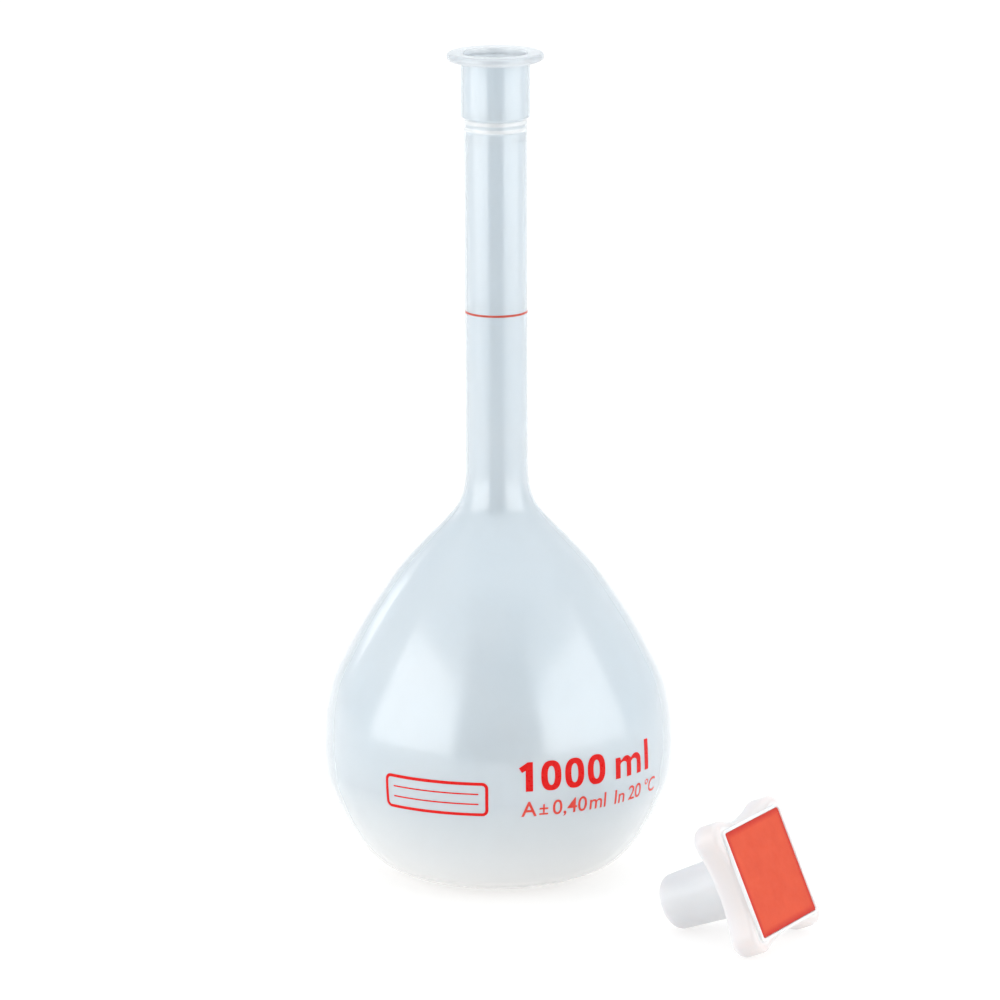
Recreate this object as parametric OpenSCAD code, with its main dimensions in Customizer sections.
// Plastic volumetric flask, one litre, with a tapered stopper lying beside it.
// The flask stands on Z = 0 with its axis on Z. All sizes are in millimetres.

/* [Flask] */
// Overall height of the flask, base to rim
flask_h = 295; // [290:0.5:302]
// Wall thickness of the round body
body_wall = 1.54; // [1.4:0.01:2.4]
// Outer radius of the neck
neck_r = 11; // [10.6:0.1:11.6]
// Radius of the neck's bore
bore_r = 9.3; // [9:0.05:9.3]
// Height of the filling mark above the base
ring_z = 203.2; // [190:0.1:230]
// Width of the printed filling mark
ring_w = 0.8; // [0.4:0.1:1.2]
// Depth of the fine groove that holds the mark's ink
ring_t = 0.1; // [0.05:0.01:0.2]

/* [Ground joint] */
// Radius of the 1 in 10 taper at its wide end
seat_r = 11.3; // [11:0.05:11.4]
// Length of the taper
seat_len = 30; // [26:1:31]
// Outer radius of the socket's straight outside
socket_r = 12.15; // [12.1:0.05:12.5]
// Outer radius of the rim bead
rim_r = 17.05; // [15:0.05:18]
// Height of the rim bead
rim_h = 3; // [2.4:0.1:4]

/* [Stopper] */
// Side of the square face frame
face_w = 40.4; // [39.6:0.1:42]
// Side of the coloured cover plate
plate_w = 38; // [37:0.1:38.4]
// Thickness of the cover plate
plate_t = 1.2; // [1:0.1:1.6]
// Thickness of the stopper's head
head_t = 11.7; // [11:0.1:14]
// Distance from the axis to the outermost point of the head's corner lobes
lobe_reach = 23.7; // [23:0.1:24.4]
// Distance from the axis to the hollow in the middle of each side
waist_reach = 20.5; // [20:0.1:21]
// Radius of the corner lobes
lobe_r = 6; // [5:0.1:7]
// Wall thickness of the hollow plug
plug_wall = 1.6; // [1.2:0.1:2]

/* [Stopper lying on the bench] */
// Distance to the right of the flask's axis
lie_x = 93.3; // [90:0.1:120]
// Distance in front of the flask's axis
lie_y = -93; // [-120:0.5:-88]
// Direction in which the square face points
lie_turn = -31; // [-40:0.1:-20]

/* [Hidden] */
eps = 0.01;

// ---- helpers ----
// A point on the smooth curve that passes through four stations.
function cr(a, b, c, d, t) =
    0.5 * (2 * b + (c - a) * t + (2 * a - 5 * b + 4 * c - d) * t * t
           + (3 * b - a - 3 * c + d) * t * t * t);
function smooth(s, sub) =
    [for (i = [1:len(s) - 3]) for (k = [0:sub - 1])
        cr(s[i - 1], s[i], s[i + 1], s[i + 2], k / sub)];
function arc(c, r, a0, a1, n) =
    [for (i = [0:n]) let (a = a0 + (a1 - a0) * i / n)
        [c[0] + r * cos(a), c[1] + r * sin(a)]];
function unit(v) = v / norm(v);
// Left-hand normal of a path at point i, from its two neighbours.
function nrm(p, i) =
    let (a = p[max(i - 1, 0)], b = p[min(i + 1, len(p) - 1)], d = unit(b - a))
    [-d[1], d[0]];

// ---- flask ----
neck_z = 148;                 // where the round body has run into the neck
seat_top = flask_h - 0.5;     // wide end of the taper
seat_bot = seat_top - seat_len;
small_r = seat_r - seat_len / 20;
shoulder_z = flask_h - 23.4;  // foot of the socket's thicker outside
// Stations up the outside of the body: radius, height. The first and last
// only set the direction at the two ends.
stations = [[21, -0.1], [29, 0], [37, 2], [43.2, 5], [47.7, 9], [51.5, 14],
            [55, 20], [58.6, 27.5], [61.2, 35], [62.2, 43], [62.2, 50.5],
            [61.4, 60], [58.8, 70], [54, 80], [48.5, 90], [42.1, 100],
            [35, 110], [26, 120], [20.1, 126], [14.9, 132], [12.6, 136.5],
            [11.4, 141.5], [neck_r, neck_z], [neck_r, 158]];
outer = smooth(stations, 3);
function wall_at(z) =
    z < 118 ? body_wall
            : z > neck_z ? neck_r - bore_r
            : body_wall + (neck_r - bore_r - body_wall) * (z - 118) / (neck_z - 118);
inner = [for (i = [0:len(outer) - 1])
            outer[i] + nrm(outer, i) * wall_at(outer[i][1])];
rim_e = rim_h / 2;
flask_outline = concat(
    [[0, 2.2], [12, 1.8], [19, 0.9], [24, 0]],
    outer,
    [[neck_r, neck_z], [neck_r, ring_z - ring_w / 2], [neck_r - ring_t, ring_z - ring_w / 2],
     [neck_r - ring_t, ring_z + ring_w / 2], [neck_r, ring_z + ring_w / 2],
     [neck_r, shoulder_z]],
    [[neck_r + 0.25, shoulder_z + 0.15], [socket_r - 0.25, shoulder_z + 1.15],
     [socket_r, shoulder_z + 1.5]],
    [[socket_r, flask_h - rim_h - 0.6], [socket_r + 0.6, flask_h - rim_h]],
    arc([rim_r - rim_e, flask_h - rim_e], rim_e, -90, 90, 12),
    [[seat_r + 0.5, flask_h], [seat_r, seat_top]],
    [[small_r, seat_bot], [bore_r, seat_bot - 0.5], [bore_r, neck_z]],
    [for (i = [len(inner) - 1:-1:0]) inner[i]],
    [[24, 1.9], [19, 2.8], [12, 3.7], [0, 4.1]]);

module flask_body() {
    color([0.86, 0.90, 0.93, 0.6])
        rotate_extrude($fn = 96) polygon(flask_outline);
}

module filling_mark() {
    color([0.72, 0.12, 0.10])
        translate([0, 0, ring_z - ring_w / 2])
            difference() {
                cylinder(r = neck_r, h = ring_w, $fn = 96);
                translate([0, 0, -1]) cylinder(r = neck_r - ring_t, h = ring_w + 2, $fn = 96);
            }
}

// ---- stopper, in its own frame: axis on Z, back of the head at Z = 0 ----
tip_e = 1.8;                  // rounding of the plug's closed end
head_e = 3.2;                 // rounding of the head's back edge
crown_e = 2;                  // rounding of the lobes' front edge
frame_h = 2.2;                // height of the square frame around the plate
plate_gap = 0.1;              // clearance around the plate
lip = 0.3;                    // the plate lies this far below the frame's face

// Quarter of the lobed outline, drawn in by d: a lobe, then half of two sides.
function lobe_c() = lobe_reach - lobe_r;
function side_r() = let (a = waist_reach - lobe_c(), c = lobe_c())
    (c * c + a * a - lobe_r * lobe_r) / (2 * (lobe_r - a));
function lobe_outline(d) =
    let (c = lobe_c(), R = side_r(), q = waist_reach + R, r = lobe_r - d,
         w = atan2(c, q - c), s = R + d,
         quarter = concat(
             [for (i = [0:4]) let (a = 180 - w * i / 4) [q + s * cos(a), s * sin(a)]],
             [for (i = [1:7]) let (a = -w + (90 + 2 * w) * i / 7) [c + r * cos(a), c + r * sin(a)]],
             [for (i = [1:3]) let (a = 270 + w * (4 - i) / 4) [s * cos(a), q + s * sin(a)]]))
    [for (k = [0:3]) each [for (p = quarter)
        [p[0] * cos(90 * k) - p[1] * sin(90 * k), p[0] * sin(90 * k) + p[1] * cos(90 * k)]]];

module square_r(w, r, h) {
    linear_extrude(h)
        polygon([for (k = [0:3]) each
            [for (i = [0:4]) let (a = 90 * k + 90 * i / 4, c = w / 2 - r,
                sx = (k == 0 || k == 3) ? 1 : -1, sy = (k < 2) ? 1 : -1)
                [sx * c + r * cos(a), sy * c + r * sin(a)]]]);
}

// Angle at which the stopper lies, touching with two lobes and its tip.
ta = lobe_reach - head_e - small_r + tip_e;
tb = head_e - tip_e + seat_len;
lie_tilt = acos((tip_e - head_e) / sqrt(ta * ta + tb * tb)) - atan2(tb, ta);
lie_z = (lobe_reach - head_e) * cos(lie_tilt) - head_e * sin(lie_tilt) + head_e;
// lie_x and lie_y locate the middle of the plate's face.
face_z = head_t - lip;

module lying() {
    translate([lie_x - face_z * cos(lie_tilt) * cos(lie_turn),
               lie_y - face_z * cos(lie_tilt) * sin(lie_turn), lie_z + 0.13])
        rotate([0, 90 - lie_tilt, lie_turn]) children();
}

steps = 4;                    // layers that round an edge
module head_shell() {
    body_h = head_t - frame_h + 1.2;
    mid = body_h / 2;
    translate([0, 0, head_e])
        linear_extrude(body_h - head_e - crown_e) polygon(lobe_outline(0));
    for (i = [0:steps - 1]) {
        a0 = 90 * i / steps;
        a1 = 90 * (i + 1) / steps;
        am = (a0 + a1) / 2;
        // rounded back edge
        z0 = head_e * (1 - cos(a0));
        translate([0, 0, z0]) linear_extrude(mid + 0.1 * i - z0)
            polygon(lobe_outline(head_e * (1 - sin(am))));
        // rounded front edge
        z1 = body_h - crown_e + crown_e * sin(a1);
        translate([0, 0, mid - 0.1 - 0.1 * i]) linear_extrude(z1 - mid + 0.1 + 0.1 * i)
            polygon(lobe_outline(crown_e * (1 - cos(am))));
    }
    // square frame that holds the plate
    translate([0, 0, mid]) square_r(face_w, 1.4, head_t - mid);
}

module plug_solid() {
    rotate_extrude($fn = 96)
        polygon(concat(
            [[0, -seat_len]],
            arc([small_r - tip_e + 0.02, -seat_len + tip_e], tip_e, -90, 0, 6),
            [[seat_r, 0], [seat_r, 3], [0, 3]]));
}

module stopper() {
    seat = head_t - lip - plate_t;      // ledge that the plate rests on
    color([0.93, 0.92, 0.93, 0.8])
        lying() difference() {
            union() {
                head_shell();
                plug_solid();
            }
            // recess for the plate
            translate([0, 0, seat]) square_r(plate_w + 2 * plate_gap, 1, plate_t + 1);
            // hollow of the head
            translate([0, 0, 2]) square_r(32, 3, seat - 2 + eps);
            // hollow of the plug
            rotate_extrude($fn = 96)
                polygon([[0, -seat_len + plug_wall],
                         [small_r - plug_wall - 0.6, -seat_len + plug_wall],
                         [small_r - plug_wall, -seat_len + plug_wall + 0.8],
                         [seat_r - plug_wall, 0], [seat_r - plug_wall, 2.5], [0, 2.5]]);
        }
}

module cover_plate() {
    color([0.92, 0.30, 0.20])
        lying() translate([0, 0, head_t - lip - plate_t])
            square_r(plate_w, 0.9, plate_t);
}

flask_body();
filling_mark();
stopper();
cover_plate();
